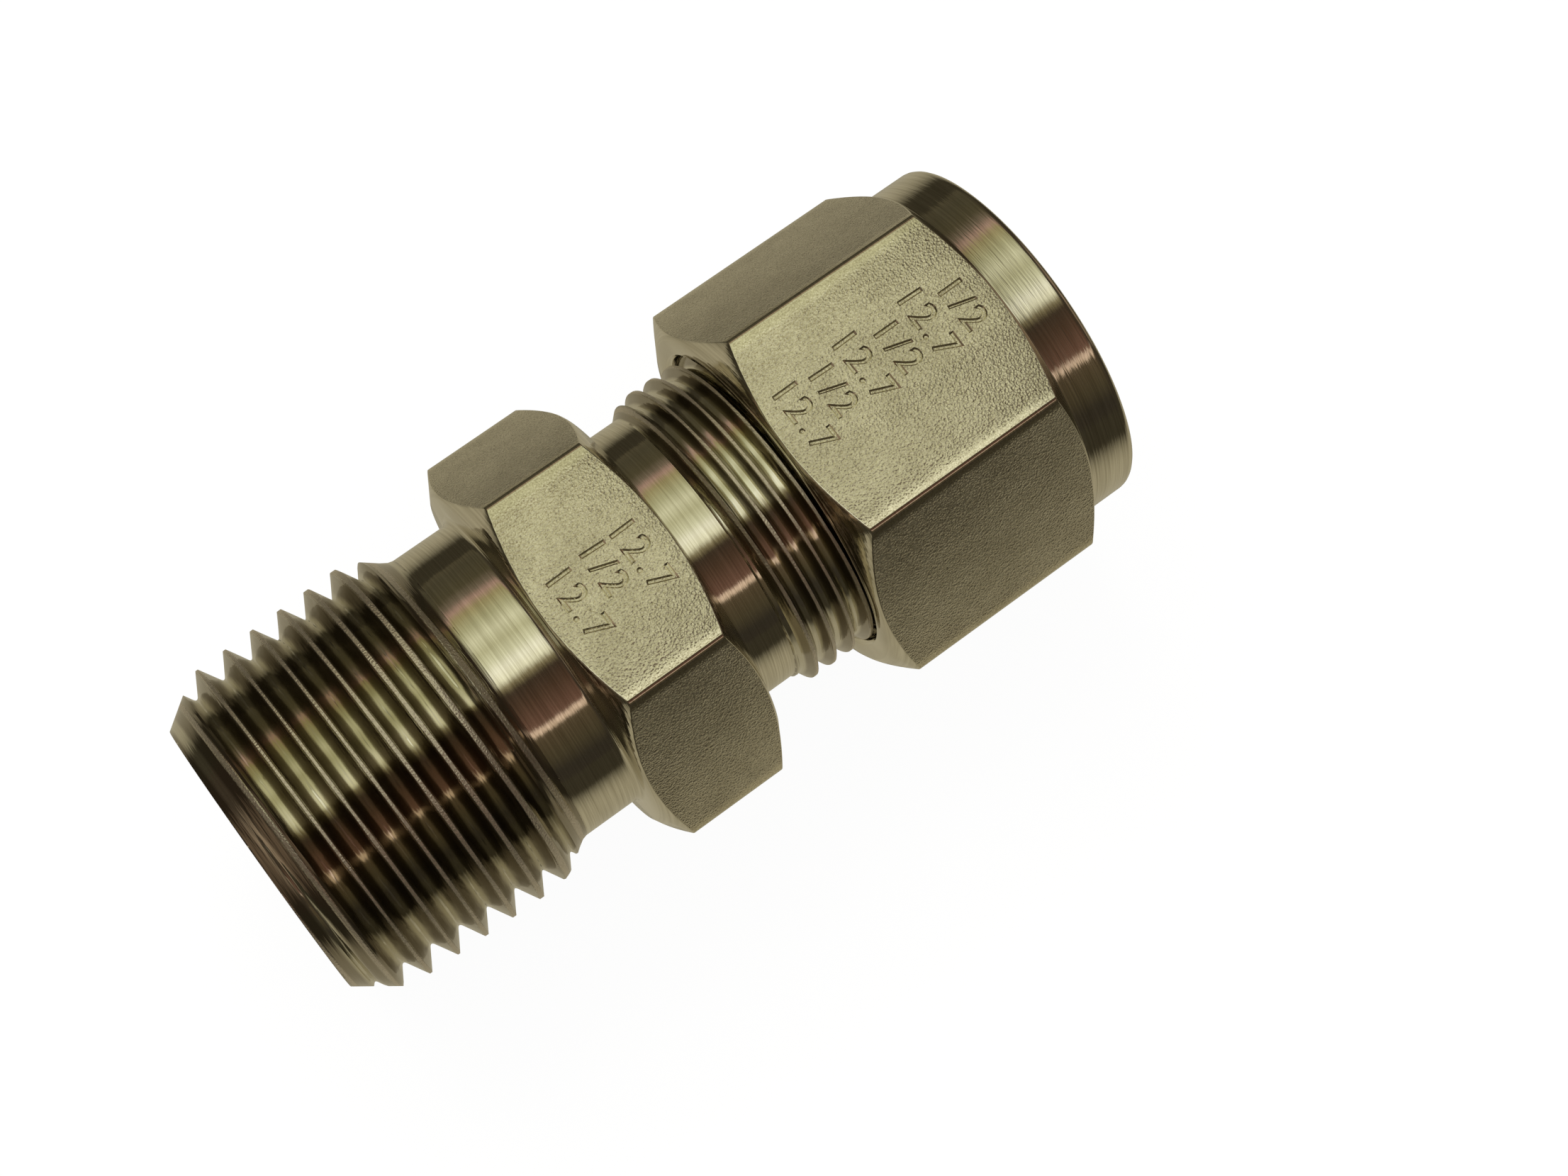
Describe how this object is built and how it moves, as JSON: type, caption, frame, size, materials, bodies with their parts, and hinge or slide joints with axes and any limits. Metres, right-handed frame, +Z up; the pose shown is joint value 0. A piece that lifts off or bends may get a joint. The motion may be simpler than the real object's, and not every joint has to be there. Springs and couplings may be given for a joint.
{
  "type": "male tube connector",
  "caption": "Straight compression fitting that joins a metal tube to a female taper pipe thread, with hexagonal body, coupling nut and ferrules inside the nut.",
  "frame": {"origin": "on the centreline at the tube stop, where an inserted tube bottoms", "axes": "+X along the centreline towards the tube, +Z up, so the lower flats of both hexagons lie on the surface"},
  "size_m": [0.0523, 0.0256, 0.0222],
  "materials": {
    "fitting_body": "turned stainless steel",
    "nut": "turned stainless steel, finely blasted flats",
    "ferrules": "smooth turned stainless steel"
  },
  "bodies": {
    "fitting_body": {"fitting_body": "fitting_body"},
    "ferrules": {"front_ferrule": "ferrules", "back_ferrule": "ferrules"},
    "nut": {"nut": "nut"}
  },
  "joints": [
    {"name": "ferrule_travel", "type": "slide", "parent": "fitting_body", "child": "ferrules", "axis": [1, 0, 0], "range_m": [-0.00345, 0.00382]},
    {"name": "nut_turn", "type": "hinge", "parent": "ferrules", "child": "nut", "pos_m": [0.01565, 0, 0], "axis": [1, 0, 0], "range_deg": [-975, 1080]}
  ],
  "couplings": [
    {"joint": "ferrule_travel", "follows": "nut_turn", "m_per_rad": 0.00020213}
  ]
}
